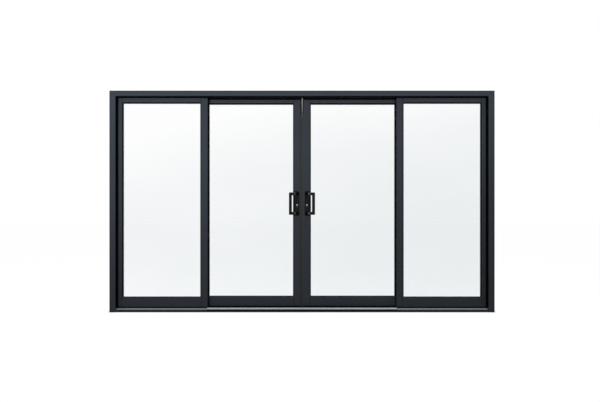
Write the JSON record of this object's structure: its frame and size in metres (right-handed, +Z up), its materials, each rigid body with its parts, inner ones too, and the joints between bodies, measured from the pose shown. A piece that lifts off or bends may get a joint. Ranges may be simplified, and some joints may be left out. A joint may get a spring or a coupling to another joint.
{
  "type": "glass sliding patio door",
  "caption": "wide double-glazed sliding patio door in dark aluminium: two fixed outer panels in the front track and two sliding leaves with D-pulls that meet in the middle",
  "frame": {"origin": "underside of the sill, middle of the width and of the frame's depth", "axes": "+X to the right seen from outside, +Y into the room, +Z up"},
  "size_m": [3.65, 0.2018, 2.1],
  "materials": {
    "frame_paint": "satin charcoal blue-grey powder coat on aluminium",
    "glass": "clear polished float glass",
    "spacer": "grey spacer bar",
    "gasket": "matt black rubber",
    "black_rubber": "matt black rubber",
    "ramp_aluminium": "satin anodised",
    "cover_aluminium": "satin anodised silver",
    "handle_black": "satin black",
    "lock_steel": "satin nickel",
    "roller_plastic": "pale nylon",
    "bead_aluminium": "satin grey",
    "filler_plastic": "matt black"
  },
  "bodies": {
    "frame": {"head": "frame_paint", "sill": "frame_paint", "left_jamb": "frame_paint", "right_jamb": "frame_paint", "sill_ramps": "ramp_aluminium", "threshold_cover": "cover_aluminium", "head_filler": "filler_plastic", "panel_packers": "black_rubber", "leaf_buffers": "black_rubber", "left_fixed_outer_stile": "frame_paint", "left_fixed_interlock_stile": "frame_paint", "left_fixed_top_rail": "frame_paint", "left_fixed_bottom_rail": "frame_paint", "left_fixed_glass": "glass", "left_fixed_spacer": "spacer", "left_fixed_gaskets": "gasket", "right_fixed_outer_stile": "frame_paint", "right_fixed_interlock_stile": "frame_paint", "right_fixed_top_rail": "frame_paint", "right_fixed_bottom_rail": "frame_paint", "right_fixed_glass": "glass", "right_fixed_spacer": "spacer", "right_fixed_gaskets": "gasket"},
    "left_leaf": {"left_leaf_interlock_stile": "frame_paint", "left_leaf_lock_stile": "frame_paint", "left_leaf_top_rail": "frame_paint", "left_leaf_bottom_rail": "frame_paint", "left_leaf_glass": "glass", "left_leaf_spacer": "spacer", "left_leaf_gaskets": "gasket", "left_leaf_rollers": "roller_plastic", "left_leaf_outside_pull": "handle_black", "left_leaf_inside_pull": "handle_black", "meeting_bead": "bead_aluminium"},
    "right_leaf": {"right_leaf_interlock_stile": "frame_paint", "right_leaf_lock_stile": "frame_paint", "right_leaf_top_rail": "frame_paint", "right_leaf_bottom_rail": "frame_paint", "right_leaf_glass": "glass", "right_leaf_spacer": "spacer", "right_leaf_gaskets": "gasket", "right_leaf_rollers": "roller_plastic", "right_leaf_outside_pull": "handle_black", "right_leaf_inside_pull": "handle_black", "meeting_lip": "frame_paint"},
    "left_lock": {"left_leaf_lock_plug": "lock_steel"},
    "right_lock": {"right_leaf_lock_plug": "lock_steel"}
  },
  "joints": [
    {"name": "left_leaf_slide", "type": "slide", "parent": "frame", "child": "left_leaf", "axis": [-1, 0, 0], "range_m": [0, 0.765]},
    {"name": "right_leaf_slide", "type": "slide", "parent": "frame", "child": "right_leaf", "axis": [1, 0, 0], "range_m": [0, 0.765]},
    {"name": "left_lock_turn", "type": "hinge", "parent": "left_leaf", "child": "left_lock", "pos_m": [-0.047, 0.047, 1.016], "axis": [0, 1, 0], "range_deg": [0, 90]},
    {"name": "right_lock_turn", "type": "hinge", "parent": "right_leaf", "child": "right_lock", "pos_m": [0.047, 0.047, 1.016], "axis": [0, -1, 0], "range_deg": [0, 90]}
  ]
}
